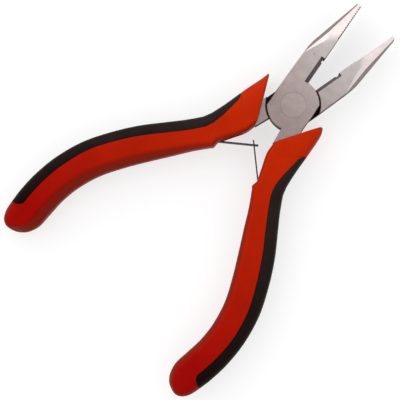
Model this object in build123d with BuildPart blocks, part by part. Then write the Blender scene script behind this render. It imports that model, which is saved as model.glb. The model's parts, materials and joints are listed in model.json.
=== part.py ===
"""Mini lap-joint pliers with a serrated nose, a side cutter and two-part moulded grips.

Each forged half is drawn closed, with the pivot on Z and the lap plane at z = 0,
as a jaw on the +Y side and a handle on the -Y side. The front half is that shape
turned open. The rear half is the same shape rolled over the X axis and turned open.
"""

import os
from math import cos, radians, sin

from build123d import *

os.makedirs("parts", exist_ok=True)

# ---------------------------------------------------------------- driving dimensions, mm and degrees
OPEN_ANGLE = 10.2  # each half stands this far from closed
HEAD_THICKNESS = 8.5  # across both laps of the joint
LAP_GAP = 0.02  # each lap face stands off the lap plane
JAW_GAP = 0.03  # each gripping face stands off the closing plane

DISC_RADIUS = 7.8  # joint disc of one half
RELIEF_RADIUS = 8.1  # shoulder that clears the other half's disc
JOINT_HALF_WIDTH = 6.5  # flats on the sides of the disc
EDGE_BREAK = 0.2  # ground edge along disc, jaw back and neck
BREAK_SHORTEST = 0.5  # shorter edges stay sharp
BREAK_JAW = (7.9, 5.5)  # past this corner the cutter and the nose stay sharp
BREAK_GRIP_END = -8.0  # edges behind this are inside the grip
BREAK_GRIP_CORNER = (-4.5, -6.0)  # and so are those past this corner

JAW_LENGTH = 35.8  # pivot to tip
TIP_WIDTH = 1.33  # one jaw at the tip
TIP_CORNER = 0.4
TIP_THICKNESS = 3.8
NOSE_START = 22.7  # where the nose begins to thin, on the gripping edge
NOSE_FALL = 41.5  # direction that the nose facet falls in, from the jaw's length towards its back
NOSE_BLEND = 3.0  # length of the curved start of the facet

SHOULDER_LINE = [(14.9, 5.95), (20.8, 2.95)]  # crease of the ground shoulder on each outer face
SHOULDER_SLOPE = 14.0
FLANK_LINE = [(18.2, 5.2, 3.98), (34.6, 1.3, 1.88)]  # upper edge of the long bevel along the nose
FLANK_SLOPE = 57.0

CUTTER_END = 16.5  # end wall of the cutter recess
CUTTER_DEPTH = 1.2  # bevel height of one cutting edge at the outer faces
CUTTER_LAND = 0.08  # cutting edge to closing plane
WIRE_NOTCH_START = 15.2  # the edge is cut away from here to the end wall
WIRE_NOTCH_DEPTH = 0.45

TOOTH_PITCH = 0.76
TOOTH_DEPTH = 0.34
TOOTH_FIRST = 23.2
TOOTH_COUNT = 16
TOOTH_LEAN = 7.0  # the grooves cross the face at this angle

RIVET_RADIUS = 2.75  # shank
RIVET_HEAD_RADIUS = 3.75  # at the ground faces
RIVET_HEAD_DEPTH = 1.3
RUNNING_CLEARANCE = 0.05  # radial, wherever something turns

TANG_THICKNESS = 5.0  # steel inside the grips
GRIP_THICKNESS = 11.6  # across the moulded handle
GRIP_EDGE = 2.0  # rounding of the long edges
INSERT_WALL = 1.5  # depth of the black moulding into the red one

LEAF_THICKNESS = 0.4
LEAF_WIDTH = 5.0
LEAF_ANGLE = 40.7  # leaf to its own handle at rest
ROOT = (-23.86, -3.84)  # where the blade leaves the grip
ROOT_DEPTH = 1.5  # blade hidden below the surface
EYE_RADIUS = 0.95  # rolled end of a leaf
PIN_RADIUS = 0.5
PIN_LENGTH = 8.4
TONGUE = (8.6, 11.1)  # narrow part of the hooked leaf, measured from the root
TONGUE_WIDTH = 2.2
HOOK_END = 11.8
HOOK_WIDTH = 4.4
WINDOW = (8.8, 11.1)  # slot in the other leaf, measured from the root
WINDOW_WIDTH = 3.0
WINDOW_LEAF_END = 11.6
SWING_CLOSED = 17.5  # how far a leaf folds down on its handle
SWING_OPEN = 5.5
POCKET_CLEARANCE = 0.2
POCKET_REACH = 9.5

# ---------------------------------------------------------------- outlines, closed position
JAW_OUTER = [(0, 6.5), (5.9, 6.5), (14.8, 6.26), (17.1, 6.15), (19.2, 5.85), (35.3, 1.5)]
NECK_OUTLINE = [(0, -1.05), (-7.8, -1.05), (-12.6, -1.4), (-8.6, -7.3), (-5.6, -6.5), (0, -6.5)]
TANG_INNER = [(-11.0, -3.3), (-22, -7.0), (-30, -9.0), (-46, -16.2), (-62, -20.8), (-78, -19.4)]
TANG_END = (-79.4, -20.9)
TANG_OUTER = [(-78, -22.4), (-62, -23.9), (-46, -19.6), (-30, -12.2), (-22, -9.4), (-9.5, -7.0)]
GRIP_FRONT = [(-12.0, -1.6), (-10.3, -3.4), (-6.6, -6.3), (-3.2, -8.8), (-0.4, -11.1)]
FLARE_TIP = (-0.8, -11.75)
GRIP_BACK = [
    (-2.6, -12.0), (-10, -12.0), (-17, -11.85), (-23, -12.5), (-30, -15.8),
    (-38, -20.1), (-46, -23.8), (-55, -26.7), (-64, -27.9), (-74, -27.3), (-84, -24.7),
]
GRIP_END = [(-87.4, -23.2), (-89.4, -20.2), (-88.2, -16.6), (-84.6, -14.6)]
GRIP_INSIDE = [
    (-82, -14.25), (-74, -16.1), (-66, -16.8), (-58, -15.9), (-50, -13.2),
    (-38, -8.5), (-30, -5.5), (-26.4, -3.55),
]
LEDGE_VALLEY = (-24.4, -3.9)
GRIP_THROAT = [LEDGE_VALLEY, (-20, -2.65), (-16.2, -1.55)]
INSERT_INNER = [
    (-10.6, -12.9), (-10.4, -11.0), (-13.6, -9.95), (-23, -9.5), (-30, -12.1),
    (-38, -16.4), (-46, -20.1), (-55, -23.4), (-64, -25.0), (-73, -24.2), (-80, -22.2),
    (-83.2, -23.0), (-83.8, -27.0),
]

# ---------------------------------------------------------------- worked-out values
HALF_HEAD = HEAD_THICKNESS / 2
HALF_GRIP = GRIP_THICKNESS / 2
BEYOND = 2 * GRIP_THICKNESS  # far enough outside any outline
BLADE_OFFSET = EYE_RADIUS - LEAF_THICKNESS / 2
LEAF_DIRECTION = Vector(cos(radians(LEAF_ANGLE)), sin(radians(LEAF_ANGLE)), 0)
LEAF_NORMAL = Vector(-LEAF_DIRECTION.Y, LEAF_DIRECTION.X, 0)
PIN_CENTRE = Vector(*ROOT, 0) - LEAF_DIRECTION * ROOT_DEPTH - LEAF_NORMAL * BLADE_OFFSET
LEAF_PLANE = Plane(origin=PIN_CENTRE, x_dir=LEAF_DIRECTION, z_dir=(0, 0, 1))
PLACES = {
    "front": Location((0, 0, HALF_HEAD), (0, 0, OPEN_ANGLE)),
    "rear": Location((0, 0, HALF_HEAD), (180, 0, OPEN_ANGLE)),
}


def prism(points, low, high):
    """Plate between two heights on a closed outline of straight sides."""
    with BuildPart() as plate:
        with BuildSketch(Plane.XY.offset(low)):
            with BuildLine():
                Polyline(*points, close=True)
            make_face()
        extrude(amount=high - low)
    return plate.part


def sloped_plane(start, end, side, slope):
    """Plane through a crease line that falls away from the closing plane on its outer side."""
    origin = Vector(start[0], start[1], start[2] * side)
    along = (Vector(end[0], end[1], end[2] * side) - origin).normalized()
    outward = Vector(0, 0, 1).cross(Vector(along.X, along.Y, 0)).normalized()
    fall = outward * cos(radians(slope)) - Vector(0, 0, side) * sin(radians(slope))
    normal = along.cross(fall).normalized()
    if normal.Z * side < 0:
        normal = normal * -1
    return Plane(origin=origin, x_dir=along, z_dir=normal)


# ---------------------------------------------------------------- forged halves
def nose_taper():
    """Material ground off the outer faces of a nose: a curved start, then a straight slope."""
    fall = Vector(cos(radians(NOSE_FALL)), sin(radians(NOSE_FALL)), 0)
    drop = (HEAD_THICKNESS - TIP_THICKNESS) / 2
    slope = drop / ((JAW_LENGTH - NOSE_START) * fall.X - NOSE_BLEND / 2)
    start = (0, HALF_HEAD)
    knee = (NOSE_BLEND, HALF_HEAD - slope * NOSE_BLEND / 2)
    far = (BEYOND, HALF_HEAD - slope * (BEYOND - NOSE_BLEND / 2))
    across = Plane(origin=(NOSE_START, 0, 0), x_dir=fall, z_dir=(fall.Y, -fall.X, 0))
    with BuildPart() as taper:
        with BuildSketch(across):
            with BuildLine():
                TangentArc(start, knee, tangent=(1, 0))
                Polyline(knee, far, (BEYOND, HEAD_THICKNESS), (0, HEAD_THICKNESS), start)
            make_face()
        extrude(amount=BEYOND, both=True)
        mirror(about=Plane.XY)
    return taper.part


def jaw():
    """One jaw: tapered nose, ground facets, teeth, wire notch and a bevelled cutting edge."""
    tip_side = [(JAW_LENGTH, TIP_WIDTH - TIP_CORNER), (JAW_LENGTH, JAW_GAP)]
    shoulder = [(*point, HALF_HEAD) for point in SHOULDER_LINE]
    teeth = [(TOOTH_FIRST + TOOTH_PITCH * i, JAW_GAP) for i in range(TOOTH_COUNT)]
    lean = Vector(sin(radians(TOOTH_LEAN)), 0, cos(radians(TOOTH_LEAN)))
    with BuildPart() as plate:
        add(prism([(0, JAW_GAP), *JAW_OUTER, *tip_side], -HALF_HEAD, HALF_HEAD))
        add(nose_taper(), mode=Mode.SUBTRACT)
        for side in (1, -1):
            split(bisect_by=sloped_plane(*shoulder, side, SHOULDER_SLOPE), keep=Keep.BOTTOM)
            split(bisect_by=sloped_plane(*FLANK_LINE, side, FLANK_SLOPE), keep=Keep.BOTTOM)
        with BuildSketch(Plane.YZ):
            with BuildLine():
                Polyline(
                    (CUTTER_LAND, 0), (CUTTER_DEPTH, HALF_HEAD), (-BEYOND, HALF_HEAD),
                    (-BEYOND, -HALF_HEAD), (CUTTER_DEPTH, -HALF_HEAD), close=True,
                )
            make_face()
        extrude(amount=CUTTER_END, mode=Mode.SUBTRACT)
        notch = [(WIRE_NOTCH_START, 0), (CUTTER_END, 0),
                 (CUTTER_END, WIRE_NOTCH_DEPTH), (WIRE_NOTCH_START, WIRE_NOTCH_DEPTH)]
        add(prism(notch, -HALF_HEAD, HALF_HEAD), mode=Mode.SUBTRACT)
        with BuildSketch():
            with Locations(*teeth):
                Polygon((-TOOTH_PITCH / 2, 0), (TOOTH_PITCH / 2, 0), (0, TOOTH_DEPTH), align=None)
        extrude(amount=HEAD_THICKNESS, dir=lean, both=True, mode=Mode.SUBTRACT)
    return plate.part


def neck_and_tang():
    """Full-thickness neck behind the joint and the thinner tang that carries the grip."""
    with BuildPart() as tang:
        add(prism(NECK_OUTLINE, -HALF_HEAD, HALF_HEAD))
        with BuildSketch(Plane.XY.offset(-TANG_THICKNESS / 2)):
            with BuildLine():
                Polyline(*TANG_INNER)
                ThreePointArc(TANG_INNER[-1], TANG_END, TANG_OUTER[0])
                Polyline(*TANG_OUTER)
                Line(TANG_OUTER[-1], TANG_INNER[0])
            make_face()
        extrude(amount=TANG_THICKNESS)
    return tang.part


def rivet_blank(clearance=0.0):
    """Joint rivet with a flush countersunk head at each face, or the hole that clears it."""
    shank = RIVET_RADIUS + clearance
    head = RIVET_HEAD_RADIUS + clearance
    neck = HALF_HEAD - RIVET_HEAD_DEPTH
    with BuildPart() as rivet:
        with BuildSketch(Plane.XZ):
            with BuildLine():
                Polyline(
                    (0, -HALF_HEAD), (head, -HALF_HEAD), (shank, -neck),
                    (shank, neck), (head, HALF_HEAD), (0, HALF_HEAD), close=True,
                )
            make_face()
        revolve(axis=Axis.Z)
    return rivet.part


def is_broken(edge):
    """Whether a rim edge of a ground outer face is broken: not along the cutter, nose or grip."""
    middle = edge.position_at(0.5)
    on_bite = middle.X > BREAK_JAW[0] and middle.Y < BREAK_JAW[1]
    in_grip = middle.X < BREAK_GRIP_CORNER[0] and middle.Y < BREAK_GRIP_CORNER[1]
    return edge.length > BREAK_SHORTEST and middle.X > BREAK_GRIP_END and not on_bite and not in_grip


def forged_half(hole_clearance):
    """Jaw, joint disc, neck and tang in one piece, with the hole for the joint rivet."""
    with BuildPart() as half:
        add(jaw())
        add(neck_and_tang())
        with BuildSketch(Plane.XY.offset(-HALF_HEAD)):
            Circle(RELIEF_RADIUS)
        extrude(amount=HALF_HEAD + LAP_GAP, mode=Mode.SUBTRACT)
        with BuildSketch(Plane.XY.offset(LAP_GAP)):
            Circle(DISC_RADIUS)
            Rectangle(2 * DISC_RADIUS, 2 * JOINT_HALF_WIDTH, mode=Mode.INTERSECT)
        extrude(amount=HALF_HEAD - LAP_GAP)
        add(rivet_blank(hole_clearance), mode=Mode.SUBTRACT)
        flats = half.faces().filter_by(Axis.Z)
        ground = flats.filter_by_position(Axis.Z, -HALF_HEAD, -HALF_HEAD)
        ground += flats.filter_by_position(Axis.Z, HALF_HEAD, HALF_HEAD)
        rims = [edge for face in ground for edge in face.outer_wire().edges()]
        chamfer([edge for edge in rims if is_broken(edge)], length=EDGE_BREAK)
    return half.part


# ---------------------------------------------------------------- leaf springs
def blade_cut(span, low, high):
    """Block over a stretch of a leaf's blade, between two heights."""
    middle = ROOT_DEPTH + (span[0] + span[1]) / 2
    with BuildPart() as block:
        with BuildSketch(LEAF_PLANE.offset(low)):
            with Locations((middle, BLADE_OFFSET)):
                Rectangle(span[1] - span[0], 2 * LEAF_THICKNESS)
        extrude(amount=high - low)
    return block.part


def leaf_blade(reach):
    """Plain leaf: a flat blade whose root is rolled into an eye."""
    length = ROOT_DEPTH + reach
    with BuildPart() as leaf:
        with BuildSketch(LEAF_PLANE.offset(-LEAF_WIDTH / 2)):
            Circle(EYE_RADIUS)
            with Locations((length / 2, BLADE_OFFSET)):
                Rectangle(length, LEAF_THICKNESS)
            Circle(PIN_RADIUS + RUNNING_CLEARANCE, mode=Mode.SUBTRACT)
        extrude(amount=LEAF_WIDTH)
    return leaf.part


def hooked_leaf():
    """Leaf with a narrow tongue that ends in a T-shaped hook."""
    with BuildPart() as leaf:
        add(leaf_blade(HOOK_END))
        for edge in (-1, 1):
            for span, width in ((TONGUE, TONGUE_WIDTH), ((TONGUE[1], HOOK_END), HOOK_WIDTH)):
                low, high = sorted((edge * width / 2, edge * LEAF_WIDTH / 2))
                add(blade_cut(span, low, high), mode=Mode.SUBTRACT)
    return leaf.part


def slotted_leaf():
    """Leaf with a window that the other leaf's tongue slides in."""
    with BuildPart() as leaf:
        add(leaf_blade(WINDOW_LEAF_END))
        add(blade_cut(WINDOW, -WINDOW_WIDTH / 2, WINDOW_WIDTH / 2), mode=Mode.SUBTRACT)
    return leaf.part


def spring_pin():
    """Pin across the grip that a leaf's eye turns on."""
    with BuildPart() as pin:
        with BuildSketch(LEAF_PLANE.offset(-PIN_LENGTH / 2)):
            Circle(PIN_RADIUS)
        extrude(amount=PIN_LENGTH)
    return pin.part


def spring_pocket():
    """Room inside the grip for a leaf's eye and for the blade as it folds down."""
    width = LEAF_WIDTH + 2 * POCKET_CLEARANCE
    low_face = EYE_RADIUS - LEAF_THICKNESS - POCKET_CLEARANCE
    high_face = EYE_RADIUS + POCKET_CLEARANCE
    fan = [
        Vector(POCKET_REACH, low_face).rotate(Axis.Z, -SWING_CLOSED),
        Vector(POCKET_REACH, BLADE_OFFSET),
        Vector(POCKET_REACH, high_face).rotate(Axis.Z, SWING_OPEN),
        Vector(0, high_face).rotate(Axis.Z, SWING_OPEN),
    ]
    with BuildPart() as pocket:
        with BuildSketch(LEAF_PLANE.offset(-width / 2)):
            Circle(EYE_RADIUS + POCKET_CLEARANCE)
            with BuildLine():
                Polyline((0, 0), *[(point.X, point.Y) for point in fan], close=True)
            make_face()
        extrude(amount=width)
    return pocket.part


# ---------------------------------------------------------------- moulded grips
def handle_blank():
    """The whole moulded handle as one solid, before it is split into its two colours."""
    with BuildPart() as blank:
        with BuildSketch(Plane.XY.offset(-HALF_GRIP)):
            with BuildLine():
                Spline(*GRIP_FRONT)
                ThreePointArc(GRIP_FRONT[-1], FLARE_TIP, GRIP_BACK[0])
                Spline(*GRIP_BACK, *GRIP_END, *GRIP_INSIDE)
                Line(GRIP_INSIDE[-1], LEDGE_VALLEY)
                Spline(*GRIP_THROAT)
                Line(GRIP_THROAT[-1], GRIP_FRONT[0])
            make_face()
        extrude(amount=GRIP_THICKNESS)
        rims = blank.faces().filter_by(Axis.Z).edges()
        fillet(rims.sort_by(SortBy.LENGTH)[-2:], radius=GRIP_EDGE)
    return blank.part


def insert_zone():
    """Space of the black moulding: a band along the back of the handle, less the red core."""
    core = [(x, y + INSERT_WALL) for x, y in GRIP_BACK]
    with BuildPart() as zone:
        with BuildSketch(Plane.XY.offset(-HALF_GRIP)):
            with BuildLine():
                Spline(*INSERT_INNER)
                last, first = INSERT_INNER[-1], INSERT_INNER[0]
                Polyline(last, (last[0], -2 * BEYOND), (first[0], -2 * BEYOND), first)
            make_face()
        extrude(amount=GRIP_THICKNESS)
        with BuildSketch(Plane.XY.offset(INSERT_WALL - HALF_GRIP)):
            with BuildLine():
                Spline(*core)
                Polyline(core[-1], (core[-1][0], BEYOND), (core[0][0], BEYOND), core[0])
            make_face()
        extrude(amount=GRIP_THICKNESS - 2 * INSERT_WALL, mode=Mode.SUBTRACT)
    return zone.part


# ---------------------------------------------------------------- the pieces
blank = handle_blank()
band = insert_zone()
steel_inside = neck_and_tang()
pocket = spring_pocket()
pin_blank = spring_pin()
rivet = rivet_blank()
halves = {"front": forged_half(RUNNING_CLEARANCE), "rear": forged_half(0.0)}
leaves = {"front": hooked_leaf(), "rear": slotted_leaf()}

for name, place in PLACES.items():
    with BuildPart() as half:
        with Locations(place):
            add(halves[name])
    half.part.label = f"{name}_half"
    export_step(half.part, f"parts/{name}_half.step")

    with BuildPart() as grip:
        with Locations(place):
            add(blank)
            add([band, steel_inside, pocket, pin_blank], mode=Mode.SUBTRACT)
    grip.part.label = f"{name}_grip"
    export_step(grip.part, f"parts/{name}_grip.step")

    with BuildPart() as insert:
        with Locations(place):
            add(blank)
            add(band, mode=Mode.INTERSECT)
    insert.part.label = f"{name}_grip_insert"
    export_step(insert.part, f"parts/{name}_grip_insert.step")

    with BuildPart() as leaf:
        with Locations(place):
            add(leaves[name])
    leaf.part.label = f"{name}_leaf_spring"
    export_step(leaf.part, f"parts/{name}_leaf_spring.step")

    with BuildPart() as pin:
        with Locations(place):
            add(pin_blank)
    pin.part.label = f"{name}_spring_pin"
    export_step(pin.part, f"parts/{name}_spring_pin.step")

with BuildPart() as pivot_rivet:
    with Locations((0, 0, HALF_HEAD)):
        add(rivet)
pivot_rivet.part.label = "pivot_rivet"
export_step(pivot_rivet.part, "parts/pivot_rivet.step")
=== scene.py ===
"""Looks of the small lap-joint pliers: moulded two-colour grips, ground steel head and leaf springs.

Grip and spring meshes are drawn in millimetres in the closed position of the front half: tip towards +X
on the +Y side, handle towards -X on the -Y side, pivot on Z. They are then placed on the front half or,
turned over, on the rear half, as these stand in the frame.
"""
import json
import math

import bmesh
import bpy
import numpy as np
from mathutils import Matrix, Vector


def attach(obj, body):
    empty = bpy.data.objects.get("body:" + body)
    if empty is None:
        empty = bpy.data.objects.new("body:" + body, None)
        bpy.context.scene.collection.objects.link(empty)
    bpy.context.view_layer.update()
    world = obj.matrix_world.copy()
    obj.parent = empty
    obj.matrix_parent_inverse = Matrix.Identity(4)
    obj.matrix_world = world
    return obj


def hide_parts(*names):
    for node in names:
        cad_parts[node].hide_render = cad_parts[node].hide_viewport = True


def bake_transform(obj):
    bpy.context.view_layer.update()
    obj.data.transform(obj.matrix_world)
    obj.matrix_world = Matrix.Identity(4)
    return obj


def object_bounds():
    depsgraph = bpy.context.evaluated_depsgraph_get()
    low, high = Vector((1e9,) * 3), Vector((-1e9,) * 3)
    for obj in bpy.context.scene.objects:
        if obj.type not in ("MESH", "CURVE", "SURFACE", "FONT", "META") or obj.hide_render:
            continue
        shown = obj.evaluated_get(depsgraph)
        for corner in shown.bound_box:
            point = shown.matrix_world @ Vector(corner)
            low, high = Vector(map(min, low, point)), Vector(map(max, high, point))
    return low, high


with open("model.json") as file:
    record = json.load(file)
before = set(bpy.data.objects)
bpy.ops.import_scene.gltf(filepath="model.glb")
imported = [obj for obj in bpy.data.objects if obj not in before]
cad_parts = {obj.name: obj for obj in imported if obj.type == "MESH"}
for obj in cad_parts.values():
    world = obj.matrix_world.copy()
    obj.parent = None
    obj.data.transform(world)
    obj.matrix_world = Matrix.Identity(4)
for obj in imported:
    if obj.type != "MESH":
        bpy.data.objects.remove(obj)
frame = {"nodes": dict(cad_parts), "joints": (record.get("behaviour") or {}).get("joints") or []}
cad_low, cad_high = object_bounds()

MM = 0.001
OPEN_ANGLE = math.radians(10.2)  # each half stands this far open at rest
PIVOT = next(joint for joint in frame["joints"] if joint["name"] == "jaw_pivot")["pos_m"]
TO_FRONT = Matrix.Translation(PIVOT) @ Matrix.Rotation(OPEN_ANGLE, 4, "Z") @ Matrix.Scale(MM, 4)
ROLL = Matrix.Rotation(math.pi, 4, "X")
TO_REAR = Matrix.Translation(PIVOT) @ ROLL @ Matrix.Rotation(OPEN_ANGLE, 4, "Z") @ Matrix.Scale(MM, 4)
SIDES = {"front": TO_FRONT, "rear": TO_REAR}
SHARP = math.radians(38)  # edges that turn by more than this stay sharp

# ------------------------------------------------------------------ grip stations, closed position, mm
# inner edge x, y, outer edge x, y, half thickness
STATIONS = [
    (-12.0, -1.65, -0.1, -11.3, 5.4),
    (-13.2, -1.58, -2.8, -11.85, 5.5),
    (-16.0, -1.6, -8.5, -12.0, 5.55),
    (-20.0, -2.7, -15.5, -11.88, 5.6),
    (-23.6, -3.72, -20.4, -12.05, 5.65),
    (-24.4, -3.92, -21.4, -12.2, 5.65),
    (-26.3, -3.5, -22.9, -12.5, 5.68),
    (-27.2, -4.0, -24.0, -12.85, 5.7),
    (-32.0, -6.25, -28.4, -14.9, 5.75),
    (-38.0, -8.6, -33.6, -17.7, 5.75),
    (-45.0, -11.4, -40.4, -21.3, 5.75),
    (-52.0, -14.05, -48.0, -24.4, 5.75),
    (-59.0, -16.15, -56.6, -26.95, 5.75),
    (-66.0, -16.95, -65.4, -27.85, 5.75),
    (-72.0, -16.6, -73.2, -27.35, 5.75),
    (-77.5, -15.4, -79.6, -26.05, 5.75),
    (-82.0, -14.4, -84.4, -24.5, 5.7),
    (-85.4, -14.8, -87.1, -23.35, 5.4),
    (-87.6, -16.0, -88.7, -22.05, 4.75),
    (-88.8, -17.5, -89.35, -20.9, 3.9),
    (-89.3, -18.7, -89.5, -19.9, 3.1),
]
FLARE_SHIFTS = {"front": (0.15, 0.52), "rear": (0.25, -0.75)}  # of each grip's front outer corner
SWELLS = {"front": -0.1, "rear": 0.32}  # of each grip's inner edge, towards the other grip
# inner-edge x, share of the swell there
SWELL_SHARES = [(-88.8, 0.3), (-85, 1.0), (-74, 1.0), (-60, 0.6), (-48, 0.0)]
SAMPLES = 14  # steps from one station to the next
SECTION_POWER = 3.3  # superellipse power of the outer half of a section
# inner-edge x, width of the long bevel along the inner edge on the +Z face and on the -Z face
BEVELS = [(-12, 0.9, 1.1), (-24, 0.8, 1.0), (-32, 1.1, 1.7), (-42, 1.4, 2.4), (-60, 1.5, 2.6),
          (-80, 1.6, 2.8), (-90, 1.5, 2.4)]
BEVEL_STEEPNESS = 1.35  # depth over width
WIDEST_BEVEL = 0.8  # share of a section's half width
DEEPEST_BEVEL = 0.75  # share of its half thickness
CREASE_RADIUS = 0.8  # rounding where the bevel meets the face
WALL_RADIUS = 1.3  # and where it meets the inner edge
ROUND_REACH = 0.45  # share of a side that a rounding may use
ROUND_STEPS = 6
CREASE_MARKS = (0.34, 0.56)  # where the two roundings lie along the quarter
WALL_MARKS = (0.68, 0.88)
THINNEST = 0.05  # half size of the smallest ring
WELD = 1e-4  # points closer than this are one


def smooth_rows(rows, steps):
    """Catmull-Rom curve through the rows, with the same number of steps between each two."""
    rows = np.array(rows, float)
    padded = np.vstack([2 * rows[0] - rows[1], rows, 2 * rows[-1] - rows[-2]])
    smooth = []
    for i in range(len(rows) - 1):
        p0, p1, p2, p3 = padded[i : i + 4]
        for t in np.arange(steps) / steps:
            smooth.append(
                0.5 * (2 * p1 + (p2 - p0) * t + (2 * p0 - 5 * p1 + 4 * p2 - p3) * t**2
                       + (3 * p1 - p0 - 3 * p2 + p3) * t**3)
            )
    smooth.append(rows[-1])
    return np.array(smooth)


def new_object(name, data):
    """Object that holds this data, in the scene."""
    thing = bpy.data.objects.new(name, data)
    bpy.context.scene.collection.objects.link(thing)
    return thing


def mesh_object(name, points, faces, matrix):
    """Mesh object from half-position points, placed by the matrix, smooth with sharp creases."""
    mesh = bpy.data.meshes.new(name)
    mesh.from_pydata([tuple(p) for p in points], [], faces)
    bm = bmesh.new()
    bm.from_mesh(mesh)
    bmesh.ops.remove_doubles(bm, verts=bm.verts, dist=WELD)
    bmesh.ops.dissolve_degenerate(bm, edges=bm.edges, dist=WELD)
    bmesh.ops.recalc_face_normals(bm, faces=bm.faces)
    for face in bm.faces:
        face.smooth = True
    for edge in bm.edges:
        if len(edge.link_faces) == 2 and edge.calc_face_angle() > SHARP:
            edge.smooth = False
    bm.to_mesh(mesh)
    bm.free()
    mesh.transform(matrix)
    return new_object(name, mesh)


def bevelled_quarter(a, b, width):
    """Bevelled quarter of a section of half width a and half thickness b, with its bevel's width.

    Returns its points from the middle of the face to the inner edge, and their marks from 0 to 1.
    """
    width = min(width, WIDEST_BEVEL * a)
    depth = min(width * BEVEL_STEEPNESS, DEEPEST_BEVEL * b)
    corners = [np.array(p) for p in ((0, b), (width - a, b), (-a, b - depth), (-a, 0))]
    points = [corners[0]]
    for before, corner, after, radius in ((*corners[:3], CREASE_RADIUS), (*corners[1:], WALL_RADIUS)):
        back, ahead = before - corner, after - corner
        back *= min(radius / np.linalg.norm(back), ROUND_REACH)
        ahead *= min(radius / np.linalg.norm(ahead), ROUND_REACH)
        for t in np.linspace(0, 1, ROUND_STEPS):
            points.append(corner + back * (1 - t) ** 2 + ahead * t**2)
    points.append(corners[3])
    marks = [0, *np.linspace(*CREASE_MARKS, ROUND_STEPS), *np.linspace(*WALL_MARKS, ROUND_STEPS), 1]
    return marks, np.array(points)


def half_width(station):
    """Half of the distance between a station's inner and outer edge."""
    return np.linalg.norm(station[2:4] - station[:2]) / 2


def section(station, angles, inset=0.0):
    """Points round one station at angles from its outer edge, drawn in by inset.

    The outer half is an oval, and the inner half has a long bevel on each face.
    """
    inner, outer = station[:2], station[2:4]
    middle = (inner + outer) / 2
    half = half_width(station)
    across = (outer - inner) / (2 * half)
    a, b = max(half - inset, THINNEST), max(station[4] - inset, THINNEST)
    power = 2 / SECTION_POWER
    c, s = np.cos(angles), np.sin(angles)
    u = a * np.sign(c) * np.abs(c) ** power
    v = b * np.sign(s) * np.abs(s) ** power
    t = 1 - np.arcsin(np.minimum(np.abs(s), 1)) * 2 / math.pi
    places, *widths = np.array(BEVELS)[::-1].T
    for face, width in zip((1, -1), widths):
        marks, quarter = bevelled_quarter(a, b, np.interp(inner[0], places, width))
        inside = (c < 0) & ((s >= 0) == (face > 0))
        u = np.where(inside, np.interp(t, marks, quarter[:, 0]), u)
        v = np.where(inside, face * np.interp(t, marks, quarter[:, 1]), v)
    return np.column_stack([middle[0] + u * across[0], middle[1] + u * across[1], v])


def skin(rings):
    """Points and faces between closed rings of equal length, with one face on each end."""
    count = len(rings[0])
    faces = []
    for i in range(len(rings) - 1):
        for j in range(count):
            k = (j + 1) % count
            faces.append((i * count + j, i * count + k, (i + 1) * count + k, (i + 1) * count + j))
    faces.append(tuple(range(count - 1, -1, -1)))
    faces.append(tuple((len(rings) - 1) * count + j for j in range(count)))
    return np.vstack(rings), faces


# ------------------------------------------------------------------ black moulding in the back of a grip
INSERT_START = -10.2  # outer-edge x of its rounded ends
INSERT_STOP = -83.9
START_ROUND = 1.5
STOP_ROUND = 2.6
# outer-edge x, width of the band on the +Z face and on the -Z face
BAND_WIDTHS = [(-10, 1.9, 1.8), (-13, 2.2, 2.1), (-17, 2.8, 2.8), (-21, 3.3, 3.2), (-25, 3.6, 3.4),
               (-35, 3.8, 3.4), (-43, 3.9, 3.3), (-54, 3.7, 3.2), (-65, 3.6, 3.5), (-84, 3.9, 3.7)]
# distance from an end of the band, and steps there for each one elsewhere
FINER = [(1.2, 5), (5.0, 2)]
FRONT_EDGE = 1.0  # rounding of the moulding's front rim
RIM_STATIONS = 5  # dense stations that the rim is rounded over
RIM_STEPS = (0, 0.03, 0.12, 0.3, 0.6)  # shares of that stretch
BODY_POINTS = 97  # of each ring, on the red surface
CHANNEL_POINTS = 17  # and on the floor of its channel
BAND_POINTS = 29  # of each ring of the black moulding, on each of its faces
RECESS = 0.9  # depth of the channel
RECESS_GAP = 0.08  # between the band's back and the channel's floor
SEAM = 0.11  # gap between the mouldings
SEAM_SHARE = 0.3  # the most of the band's angle that the seam may take
BAND_EDGE = (0.22, 0.05)  # drop of the outermost points of the band
NARROWEST_BAND = 0.02  # smallest angle that is still drawn


def band_angles(station):
    """Section angles where the black band ends on the +Z and the -Z face; 0 outside its length."""
    x = station[2]
    half = half_width(station)
    if not INSERT_STOP < x < INSERT_START:
        return 0.0, 0.0
    places, *widths = np.array(BAND_WIDTHS)[::-1].T
    share = 1.0
    for gap, size in ((INSERT_START - x, START_ROUND), (x - INSERT_STOP, STOP_ROUND)):
        if gap < size:
            share *= math.sqrt(max(1 - (1 - gap / size) ** 2, 0))
    angles = []
    for width in widths:
        width = np.interp(x, places, width) * share
        angles.append(math.acos(min(max((half - width) / half, 0.0), 1.0) ** (SECTION_POWER / 2)))
    return tuple(angles)


def dense_stations(side):
    """Stations along one handle, closer together at the rounded ends of the black band."""
    rows = np.array(STATIONS)
    rows[0, 2:4] += FLARE_SHIFTS[side]
    across = rows[:, :2] - rows[:, 2:4]
    across /= np.linalg.norm(across, axis=1)[:, None]
    rows[:, :2] += across * SWELLS[side] * np.interp(rows[:, 0], *np.array(SWELL_SHARES).T)[:, None]
    rows = smooth_rows(rows, SAMPLES)
    dense = []
    for i in range(len(rows) - 1):
        middle = (rows[i, 2] + rows[i + 1, 2]) / 2
        near = min(abs(middle - INSERT_START), abs(middle - INSERT_STOP))
        parts = next((count for reach, count in FINER if near < reach), 1)
        for k in range(parts):
            dense.append(rows[i] + (rows[i + 1] - rows[i]) * k / parts)
    dense.append(rows[-1])
    return dense


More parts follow.
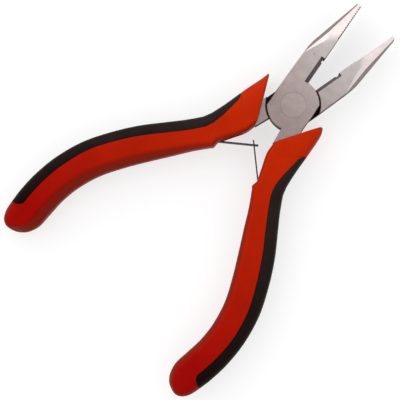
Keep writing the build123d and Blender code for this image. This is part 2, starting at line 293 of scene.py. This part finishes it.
def red_grip(name, matrix, side):
    """Red body of a grip: crowned sections with a channel along the back for the black moulding."""
    stations = dense_stations(side)
    front, back = stations[0], stations[RIM_STATIONS]
    rings = [(front + (back - front) * t, FRONT_EDGE * (1 - math.sqrt(2 * t - t * t))) for t in RIM_STEPS]
    rings += [(station, 0.0) for station in stations[RIM_STATIONS:]]
    points = []
    for station, inset in rings:
        above, below = band_angles(station)
        body = section(station, np.linspace(above, 2 * math.pi - below, BODY_POINTS), inset)
        depth = RECESS if above > 0 else inset
        channel = section(station, np.linspace(-below, above, CHANNEL_POINTS), depth)
        points.append(np.vstack([body, channel]))
    coordinates, faces = skin(points)
    return mesh_object(name, coordinates, faces, matrix)


def black_insert(name, matrix, side):
    """Black moulding: a curved strip that fills the channel, with softened edges and a fine seam."""
    rings = []
    for station in dense_stations(side):
        above, below = band_angles(station)
        if above < NARROWEST_BAND:
            continue
        gap = min(SEAM / half_width(station), above * SEAM_SHARE)
        angles = np.linspace(gap - below, above - gap, BAND_POINTS)
        drops = np.zeros(BAND_POINTS)
        for k, drop in enumerate(BAND_EDGE):
            drops[[k, -1 - k]] = drop
        outer = np.vstack([section(station, angles[k : k + 1], drops[k]) for k in range(BAND_POINTS)])
        inner = section(station, angles[::-1], RECESS - RECESS_GAP)
        rings.append(np.vstack([outer, inner]))
    coordinates, faces = skin(rings)
    return mesh_object(name, coordinates, faces, matrix)


# ------------------------------------------------------------------ leaf springs
LEAF_ANGLE = math.radians(40.7)
LEAF_ROOT = Vector((-23.86, -3.84, 0))
LEAF_THICKNESS = 0.4
LEAF_HALF = 2.5  # half of the blade's width
ROOT_DEPTH = 1.5  # from the grip's surface to the middle of the rolled eye
EYE_RADIUS = 0.55  # inside of the eye
EYE_TURN = math.radians(320)
LEAF_END = {"front": 11.8, "rear": 11.6}  # measured from the root, as are the four below
TONGUE_START = 8.6
WINDOW_START = 8.8
HOOK_START = 11.1  # the window ends here too
TONGUE_HALF = 1.1
HOOK_HALF = 2.2
WINDOW_HALF = 1.5
# z of the lines that the blade's cells lie between
LEAF_LEVELS = {
    "front": (-LEAF_HALF, -HOOK_HALF, -TONGUE_HALF, TONGUE_HALF, HOOK_HALF, LEAF_HALF),
    "rear": (-LEAF_HALF, -WINDOW_HALF, WINDOW_HALF, LEAF_HALF),
}
LEAF_CELL = 0.25  # longest cell along the blade
LEAF_EDGE = 0.07  # rounding of the blade's edges
EYE_STEPS = 20
DIGITS = 3  # places closer than this many decimals are one

ALONG = Vector((math.cos(LEAF_ANGLE), math.sin(LEAF_ANGLE), 0))
ACROSS = Vector((-ALONG.y, ALONG.x, 0))
EYE_CENTRE = LEAF_ROOT - ALONG * ROOT_DEPTH - ACROSS * (EYE_RADIUS + LEAF_THICKNESS / 2)

POCKET_WIDTH = 5.4  # across the blade
POCKET_CLEARANCE = 0.2
POCKET_REACH = 9.0  # along it, from the eye
POCKET_STEPS = 12
SWING_CLOSED = math.radians(18.5)  # room for the blade as the tool closes
SWING_OPEN = math.radians(6)  # and as it opens wide


def has_metal(kind, x, z):
    """Whether a leaf has metal at this place: x from the root along the blade, z across it."""
    if kind == "front":
        if x > HOOK_START:
            return abs(z) < HOOK_HALF
        return abs(z) < TONGUE_HALF or x < TONGUE_START
    return not (WINDOW_START < x < HOOK_START and abs(z) < WINDOW_HALF)


def leaf_place(x):
    """Point and outward normal of the blade's inner face, x from the root: straight, then the eye."""
    turn = max(-ROOT_DEPTH - x, 0) / EYE_RADIUS
    outward = ACROSS * math.cos(turn) - ALONG * math.sin(turn)
    return EYE_CENTRE + outward * EYE_RADIUS + ALONG * max(x + ROOT_DEPTH, 0), outward


def leaf_spring(name, kind, matrix):
    """Blade with its rolled eye and its hooked tongue or window, in short cells so that it can bend."""
    columns = {TONGUE_START, WINDOW_START, HOOK_START, LEAF_END[kind], -ROOT_DEPTH}
    columns |= {round(x, DIGITS) for x in np.arange(0, HOOK_START - LEAF_CELL / 2, LEAF_CELL)}
    turns = np.linspace(0, EYE_TURN, EYE_STEPS)
    columns |= {round(x, DIGITS) for x in -ROOT_DEPTH - EYE_RADIUS * turns}
    columns = sorted(columns)
    bm = bmesh.new()
    layers = ({}, {})

    def vertex(layer, x, z):
        key = (round(x, DIGITS), round(z, DIGITS))
        if key not in layers[layer]:
            point, outward = leaf_place(x)
            place = point + outward * LEAF_THICKNESS * layer + Vector((0, 0, z))
            layers[layer][key] = bm.verts.new(place)
        return layers[layer][key]

    walls = {}
    for x0, x1 in zip(columns, columns[1:]):
        for z0, z1 in zip(LEAF_LEVELS[kind], LEAF_LEVELS[kind][1:]):
            if not has_metal(kind, (x0 + x1) / 2, (z0 + z1) / 2):
                continue
            ring = [(x0, z0), (x1, z0), (x1, z1), (x0, z1)]
            for layer in (0, 1):
                bm.faces.new([vertex(layer, *corner) for corner in ring])
            for start, stop in zip(ring, ring[1:] + ring[:1]):
                side = frozenset((start, stop))
                walls[side] = None if side in walls else (start, stop)
    for wall in filter(None, walls.values()):
        start, stop = wall
        bm.faces.new([vertex(0, *start), vertex(0, *stop), vertex(1, *stop), vertex(1, *start)])
    bmesh.ops.recalc_face_normals(bm, faces=bm.faces)
    rim = [edge for edge in bm.edges if len(edge.link_faces) == 2 and edge.calc_face_angle() > SHARP]
    bmesh.ops.bevel(bm, geom=rim, offset=LEAF_EDGE, segments=2, affect="EDGES", profile=0.5)
    for face in bm.faces:
        face.smooth = True
    mesh = bpy.data.meshes.new(name)
    bm.to_mesh(mesh)
    bm.free()
    mesh.transform(matrix)
    return new_object(name, mesh)


def cut_pocket(grip, matrix):
    """Cut the slot in a grip that its leaf's eye sits in and its blade folds into."""
    high_face = EYE_RADIUS + LEAF_THICKNESS + POCKET_CLEARANCE
    low_face = EYE_RADIUS - POCKET_CLEARANCE

    def swung(u, v, angle):
        c, s = math.cos(angle), math.sin(angle)
        return EYE_CENTRE + ALONG * (u * c - v * s) + ACROSS * (u * s + v * c)

    outline = [swung(POCKET_REACH, low_face, -SWING_CLOSED), swung(POCKET_REACH, high_face, SWING_OPEN)]
    for angle in np.linspace(SWING_OPEN, math.pi - SWING_CLOSED, POCKET_STEPS):
        outline.append(swung(0, high_face, angle))
    levels = [Vector((0, 0, side * POCKET_WIDTH / 2)) for side in (-1, 1)]
    count = len(outline)
    points = [point + level for level in levels for point in outline]
    faces = [tuple(range(count)), tuple(range(2 * count - 1, count - 1, -1))]
    faces += [(i, (i + 1) % count, count + (i + 1) % count, count + i) for i in range(count)]
    cutter = mesh_object("pocket_cutter", points, faces, matrix)
    modifier = grip.modifiers.new("pocket", "BOOLEAN")
    modifier.object = cutter
    modifier.solver = "EXACT"
    evaluated = grip.evaluated_get(bpy.context.evaluated_depsgraph_get())
    carved = bpy.data.meshes.new_from_object(evaluated)
    grip.modifiers.clear()
    grip.data = carved
    bpy.data.objects.remove(cutter)


# ------------------------------------------------------------------ materials
LAP_PLANE = PIVOT[2]
LAP_DEPTH = 0.25 * MM  # painted shade darkens the upright lap faces this close to their plane, where the other half shades them
FORGE_SCALE_AND_SHADE = (0.065, 0.049, 0.047)  # walls: dark forged scale, deepened with painted shade
PIT_AND_BEVEL_SHADE = (0.19, 0.14, 0.14)  # painted shade on steep ground bevels, and the colour of pits
# painted shade: colour of the lap faces in the other half's shadow
LAP_SHADE_COLOUR = (0.022, 0.012, 0.012)
GROUND_BEHIND = (0.50, 0.39, 0.375)  # painted light: ground faces towards the handles, dimmer
GROUND_AHEAD = (0.80, 0.715, 0.705)  # and towards the tips, brighter, as if lit from the tip side
# painted light: spring steel dimmer towards the handles, brighter towards the tips
SPRING_BEHIND = (0.09, 0.075, 0.07)
SPRING_AHEAD = (0.15, 0.125, 0.12)
GROUND_SPAN = (-4 * MM, 20 * MM)  # along the tool, where the painted light on the ground faces changes from the dimmer colour to the brighter one
# painted light: along the tool, the mouldings' faces and their painted-shade sides brighten from these x
# towards the head
PLASTIC_SPAN = (-75 * MM, -4 * MM)
PLASTIC_SIDE_SPAN = (-40 * MM, -8 * MM)
STEEL_SPECULAR = 0.2
PLASTIC_SPECULAR = 0.04


def material(name, specular):
    """New node material with its shader; returns the material, its nodes, links and shader."""
    mat = bpy.data.materials.new(name)
    mat.use_nodes = True
    nodes, links = mat.node_tree.nodes, mat.node_tree.links
    shader = nodes["Principled BSDF"]
    shader.inputs["Specular IOR Level"].default_value = specular
    return mat, nodes, links, shader


def noise(nodes, links, scale, detail, stretch=(1, 1, 1), roughness=0.5):
    """Noise in object space, stretched along the axes; returns its value socket."""
    place = nodes.new("ShaderNodeTexCoord")
    mapping = nodes.new("ShaderNodeMapping")
    mapping.inputs["Scale"].default_value = stretch
    texture = nodes.new("ShaderNodeTexNoise")
    texture.inputs["Scale"].default_value = scale
    texture.inputs["Detail"].default_value = detail
    texture.inputs["Roughness"].default_value = roughness
    links.new(place.outputs["Object"], mapping.inputs["Vector"])
    links.new(mapping.outputs["Vector"], texture.inputs["Vector"])
    return texture.outputs["Fac"]


def ramp(nodes, links, value, stops):
    """Colour ramp of (place, colour) stops on a value socket; returns its colour socket."""
    node = nodes.new("ShaderNodeValToRGB")
    elements = node.color_ramp.elements
    while len(elements) < len(stops):
        elements.new(0.5)
    for element, (place, colour) in zip(elements, stops):
        element.position = place
        element.color = (*colour, 1)
    links.new(value, node.inputs["Fac"])
    return node.outputs["Color"]


def spread(nodes, links, value, low, high, start=0.3, stop=0.7):
    """Value socket whose stretch from start to stop is mapped to low..high."""
    node = nodes.new("ShaderNodeMapRange")
    node.inputs["From Min"].default_value = start
    node.inputs["From Max"].default_value = stop
    node.inputs["To Min"].default_value = low
    node.inputs["To Max"].default_value = high
    links.new(value, node.inputs["Value"])
    return node.outputs["Result"]


def math_node(nodes, links, operation, *values):
    """Arithmetic on value sockets and plain numbers; returns its value socket."""
    node = nodes.new("ShaderNodeMath")
    node.operation = operation
    for socket, value in zip(node.inputs, values):
        if isinstance(value, (int, float)):
            socket.default_value = value
        else:
            links.new(value, socket)
    return node.outputs["Value"]


def mix_colour(nodes, links, share, first, second):
    """Blend of two colours, sockets or triples, by a value socket."""
    node = nodes.new("ShaderNodeMix")
    node.data_type = "RGBA"
    links.new(share, node.inputs["Factor"])
    for name, colour in (("A", first), ("B", second)):
        socket = next(i for i in node.inputs if i.name == name and i.type == "RGBA")
        if isinstance(colour, tuple):
            socket.default_value = (*colour, 1)
        else:
            links.new(colour, socket)
    return next(o for o in node.outputs if o.type == "RGBA")


def component(nodes, links, vector, axis):
    """X, Y or Z of a vector socket; returns its value socket."""
    parts = nodes.new("ShaderNodeSeparateXYZ")
    links.new(vector, parts.inputs["Vector"])
    return parts.outputs[axis]


def place_along(nodes, links, axis):
    """Place in the object along X, Y or Z, in metres; returns its value socket."""
    return component(nodes, links, nodes.new("ShaderNodeTexCoord").outputs["Object"], axis)


def uprightness(nodes, links):
    """1 on faces that look straight up or down and 0 on walls; returns its value socket."""
    normal = nodes.new("ShaderNodeNewGeometry").outputs["Normal"]
    return math_node(nodes, links, "ABSOLUTE", component(nodes, links, normal, "Z"))


def bump(nodes, links, shader, layers):
    """Stack of bumps from (height socket, strength, distance) layers on the shader's normal."""
    before = None
    for height, strength, distance in layers:
        node = nodes.new("ShaderNodeBump")
        node.inputs["Strength"].default_value = strength
        node.inputs["Distance"].default_value = distance
        links.new(height, node.inputs["Height"])
        if before:
            links.new(before, node.inputs["Normal"])
        before = node.outputs["Normal"]
    links.new(before, shader.inputs["Normal"])


def painted_light_drift(nodes, links, behind, ahead, start, stop):
    """Painted light: slow change of colour along the tool, from the dimmer handle end to the brighter tip
    end.
    """
    share = spread(nodes, links, place_along(nodes, links, "X"), 0, 1, start, stop)
    return mix_colour(nodes, links, share, behind, ahead)


def tinted(nodes, links, colour, value, low, high, start=0.36, stop=0.64):
    """A colour made lighter and darker by a value socket."""
    node = nodes.new("ShaderNodeVectorMath")
    node.operation = "SCALE"
    links.new(colour, node.inputs["Vector"])
    links.new(spread(nodes, links, value, low, high, start, stop), node.inputs["Scale"])
    return node.outputs["Vector"]


def blended(nodes, links, first, second, share):
    """Weighted sum of two value sockets, with this share of the first."""
    first = math_node(nodes, links, "MULTIPLY", first, share)
    second = math_node(nodes, links, "MULTIPLY", second, 1 - share)
    return math_node(nodes, links, "ADD", first, second)


def steel(name, behind, ahead, rough_low, rough_high):
    """Satin ground outer faces with fine lines and pits and painted light brightening them towards the
    tips, forged scale and painted shade on the sides and steep bevels, and painted shade on the lap
    faces.
    """
    mat, nodes, links, shader = material(name, STEEL_SPECULAR)
    speckle = noise(nodes, links, scale=2600, detail=3, roughness=0.7)
    lines = noise(nodes, links, scale=5200, detail=2, stretch=(0.12, 1, 1), roughness=0.6)
    cloud = noise(nodes, links, scale=420, detail=4)
    # painted light: ground faces brighter towards the tips
    ground = painted_light_drift(nodes, links, behind, ahead, *GROUND_SPAN)
    mottle = blended(nodes, links, cloud, speckle, 0.6)
    ground = tinted(nodes, links, ground, mottle, low=0.92, high=1.08)
    pits = noise(nodes, links, scale=870, detail=2)
    pits = spread(nodes, links, pits, 0, 0.5, start=0.71, stop=0.77)
    ground = mix_colour(nodes, links, pits, ground, PIT_AND_BEVEL_SHADE)

    # painted shade: faces darken as they tilt from upright, to shade on the steep bevels and to forged
    # scale deepened by shade on the walls
    upright = uprightness(nodes, links)
    face = spread(nodes, links, upright, 0, 1, start=0.49, stop=0.96)
    sides = ramp(nodes, links, upright, [(0.05, FORGE_SCALE_AND_SHADE), (0.24, PIT_AND_BEVEL_SHADE)])
    colour = mix_colour(nodes, links, face, sides, ground)
    # painted shade on upright faces next to the lap plane, standing in for the other half's shadow
    depth = math_node(nodes, links, "SUBTRACT", place_along(nodes, links, "Z"), LAP_PLANE)
    depth = math_node(nodes, links, "ABSOLUTE", depth)
    lap_shade = spread(nodes, links, depth, 1, 0, start=LAP_DEPTH / 2, stop=LAP_DEPTH)
    lap_shade = math_node(nodes, links, "MULTIPLY", face, lap_shade)
    colour = mix_colour(nodes, links, lap_shade, colour, LAP_SHADE_COLOUR)
    links.new(colour, shader.inputs["Base Color"])

    rough = spread(nodes, links, lines, rough_low, rough_high)
    rougher = spread(nodes, links, upright, 0.4, 0, start=0.05, stop=0.6)
    links.new(math_node(nodes, links, "ADD", rough, rougher), shader.inputs["Roughness"])
    bare = spread(nodes, links, upright, 0.1, 1, start=0.05, stop=0.3)
    links.new(bare, shader.inputs["Metallic"])
    bump(nodes, links, shader, [(lines, 0.10, 0.03 * MM), (speckle, 0.12, 0.04 * MM)])
    return mat


def moulding(name, behind, ahead, sides, variation, rough_low, rough_high, grain, grain_depth):
    """Moulded plastic or rubber with a fine spark-eroded grain, painted light brightening it towards the
    head, and painted shade on its steep sides.
    """
    mat, nodes, links, shader = material(name, PLASTIC_SPECULAR)
    fine = noise(nodes, links, scale=grain, detail=3, roughness=0.65)
    cloud = noise(nodes, links, scale=110, detail=5, roughness=0.6)
    # painted light: faces brighter towards the head
    colour = painted_light_drift(nodes, links, behind, ahead, *PLASTIC_SPAN)
    mottle = blended(nodes, links, cloud, fine, 0.65)
    colour = tinted(nodes, links, colour, mottle, 1 - variation, 1 + variation)
    upright = uprightness(nodes, links)
    # painted shade: steep sides darker than the upright faces, and brighter towards the head as painted
    # light
    walls = painted_light_drift(nodes, links, *sides, *PLASTIC_SIDE_SPAN)
    face = spread(nodes, links, upright, 0, 1, start=0.5, stop=0.88)
    links.new(mix_colour(nodes, links, face, walls, colour), shader.inputs["Base Color"])
    rough = noise(nodes, links, scale=320, detail=5)
    links.new(spread(nodes, links, rough, rough_low, rough_high), shader.inputs["Roughness"])
    waves = noise(nodes, links, scale=130, detail=2)
    bump(nodes, links, shader, [(waves, 0.10, 0.5 * MM), (fine, grain_depth, 0.12 * MM)])
    return mat


tool_steel = steel("tool_steel_ground", GROUND_BEHIND, GROUND_AHEAD, 0.30, 0.40)
rivet_steel = steel("rivet_steel_ground", GROUND_BEHIND, GROUND_AHEAD, 0.32, 0.42)
spring_steel = steel("spring_steel_strip", SPRING_BEHIND, SPRING_AHEAD, 0.30, 0.42)
# painted light: behind and ahead are the dimmer and brighter ends along the tool; painted shade: sides
# are the darker steep faces
red = moulding(
    "grip_red_moulding",
    behind=(0.32, 0.001, 0.0),
    ahead=(0.51, 0.020, 0.0),
    sides=((0.20, 0.010, 0.001), (0.38, 0.016, 0.0)),
    variation=0.09,
    rough_low=0.42,
    rough_high=0.54,
    grain=2600,
    grain_depth=0.25,
)
# painted light: behind and ahead are the dimmer and brighter ends along the tool; painted shade: sides
# are the darker steep faces
black = moulding(
    "grip_black_rubber",
    behind=(0.006, 0.002, 0.0015),
    ahead=(0.026, 0.017, 0.015),
    sides=((0.008, 0.004, 0.003), (0.018, 0.011, 0.010)),
    variation=0.3,
    rough_low=0.5,
    rough_high=0.62,
    grain=2300,
    grain_depth=0.35,
)


def paint(piece, mat):
    """Give every slot of a piece one material."""
    if not piece.data.materials:
        piece.data.materials.append(mat)
    for slot in piece.material_slots:
        slot.material = mat


# ------------------------------------------------------------------ the pieces on their bodies
for side, matrix in SIDES.items():
    handle = f"{side}_handle"
    grip = red_grip(f"{side}_grip_shell", matrix, side)
    cut_pocket(grip, matrix)
    paint(grip, red)
    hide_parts(f"{side}_grip")
    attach(grip, handle)

    insert = black_insert(f"{side}_grip_soft_insert", matrix, side)
    paint(insert, black)
    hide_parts(f"{side}_grip_insert")
    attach(insert, handle)

    leaf = leaf_spring(f"{side}_leaf_blade", side, matrix)
    paint(leaf, spring_steel)
    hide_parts(f"{side}_leaf_spring")
    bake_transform(leaf)

    paint(frame["nodes"][f"{side}_half"], tool_steel)
    paint(frame["nodes"][f"{side}_spring_pin"], rivet_steel)
paint(frame["nodes"]["pivot_rivet"], rivet_steel)


# ------------------------------------------------------------------ camera, light and floor
IMAGE_SIDE_MM = 118.2  # width of the view at the lap plane
CAMERA_DISTANCE_MM = 530.0
SENSOR = 36.0
CLIP_START = 0.01  # metres
TOOL_ANGLE = math.radians(45.25)  # tool axis above the view's horizontal
VIEW_LEAN = math.radians(2.2)  # the camera stands this far to the tool's -Y side
VIEW_CENTRE = Vector((-39.03, -0.06, 4.25)) * MM

camera_data = bpy.data.cameras.new("camera")
camera_data.sensor_width = SENSOR
camera_data.lens = SENSOR * CAMERA_DISTANCE_MM / IMAGE_SIDE_MM
camera_data.clip_start = CLIP_START
camera = new_object("camera", camera_data)
camera.matrix_world = (
    Matrix.Translation(VIEW_CENTRE)
    @ Matrix.Rotation(VIEW_LEAN, 4, "X")
    @ Matrix.Rotation(-TOOL_ANGLE, 4, "Z")
    @ Matrix.Translation((0, 0, CAMERA_DISTANCE_MM * MM))
)
bpy.context.scene.camera = camera


def area_light(name, direction, distance, size, power):
    """Square soft light that looks at the tool's middle from a direction; metres and watts."""
    data = bpy.data.lights.new(name, "AREA")
    data.size = size
    data.energy = power
    lamp = new_object(name, data)
    towards = Vector(direction).normalized()
    lamp.location = VIEW_CENTRE + towards * distance
    lamp.rotation_euler = towards.to_track_quat("Z", "Y").to_euler()


area_light("key_softbox", direction=(0.1, 1.0, 0.7), distance=0.8, size=0.5, power=0.7)

# a white tent, brighter on the tool's +Y side, with a dim hole overhead where the lens looks in
HOLE_LEAN = math.radians(5.0)  # the hole's middle is this far towards -Y
# cosine from the hole's middle, brightness
TENT_STOPS = [(0.0, 0.70), (0.60, 0.80), (0.78, 1.0), (0.90, 1.0), (0.965, 0.40), (1.0, 0.22)]
TENT_POWER = 1.2
TENT_LEAN = (0.45, 0.89)  # X and Y of its brighter side
TENT_CONTRAST = 0.75
world = bpy.data.worlds.new("light_tent")
world.use_nodes = True
tent, tent_links = world.node_tree.nodes, world.node_tree.links
sky = tent.new("ShaderNodeTexCoord").outputs["Generated"]
hole = tent.new("ShaderNodeVectorMath")
hole.operation = "DOT_PRODUCT"
hole.inputs[1].default_value = (0, -math.sin(HOLE_LEAN), math.cos(HOLE_LEAN))
tent_links.new(sky, hole.inputs[0])
tent_greys = [(place, (level,) * 3) for place, level in TENT_STOPS]
tent_colour = ramp(tent, tent_links, hole.outputs["Value"], tent_greys)
sky_x, sky_y, sky_z = (component(tent, tent_links, sky, axis) for axis in "XYZ")
lean_x = math_node(tent, tent_links, "MULTIPLY", sky_x, TENT_LEAN[0])
lean_y = math_node(tent, tent_links, "MULTIPLY", sky_y, TENT_LEAN[1])
sideways = math_node(tent, tent_links, "ADD", lean_x, lean_y)
lowness = math_node(tent, tent_links, "SUBTRACT", 1.0, sky_z)
sideways = math_node(tent, tent_links, "MULTIPLY", sideways, lowness)
dimmest, brightest = TENT_POWER * (1 - TENT_CONTRAST), TENT_POWER * (1 + TENT_CONTRAST)
strength = spread(tent, tent_links, sideways, dimmest, brightest, start=-1, stop=1)
tent_links.new(tent_colour, tent["Background"].inputs["Color"])
tent_links.new(strength, tent["Background"].inputs["Strength"])
bpy.context.scene.world = world
bpy.context.scene.view_settings.view_transform = "Standard"

FLOOR_HALF = 3.0  # metres
FLOOR_DROP = 0.02 * MM  # keeps the floor just clear of the tool
FLOOR_GLOW = 0.66  # the floor is lit from below too, as a light table
FLOOR_CORNERS = [(-1, -1), (1, -1), (1, 1), (-1, 1)]
PAPER_ROUGHNESS = 0.9
PAPER_SPECULAR = 0.5
PAPER_TONES = [(0.3, (0.36, 0.36, 0.36)), (0.7, (0.39, 0.39, 0.39))]
floor_z = cad_low[2] - FLOOR_DROP
floor_points = [(FLOOR_HALF * x, FLOOR_HALF * y, floor_z) for x, y in FLOOR_CORNERS]
floor_mesh = bpy.data.meshes.new("floor")
floor_mesh.from_pydata(floor_points, [], [tuple(range(len(floor_points)))])
floor = new_object("floor", floor_mesh)
paper, paper_nodes, paper_links, paper_shader = material("pale_paper", PAPER_SPECULAR)
paper_cloud = noise(paper_nodes, paper_links, scale=6, detail=3)
paper_colour = ramp(paper_nodes, paper_links, paper_cloud, PAPER_TONES)
paper_links.new(paper_colour, paper_shader.inputs["Base Color"])
paper_shader.inputs["Roughness"].default_value = PAPER_ROUGHNESS
paper_shader.inputs["Emission Color"].default_value = (1, 1, 1, 1)
paper_shader.inputs["Emission Strength"].default_value = FLOOR_GLOW
paint(floor, paper)
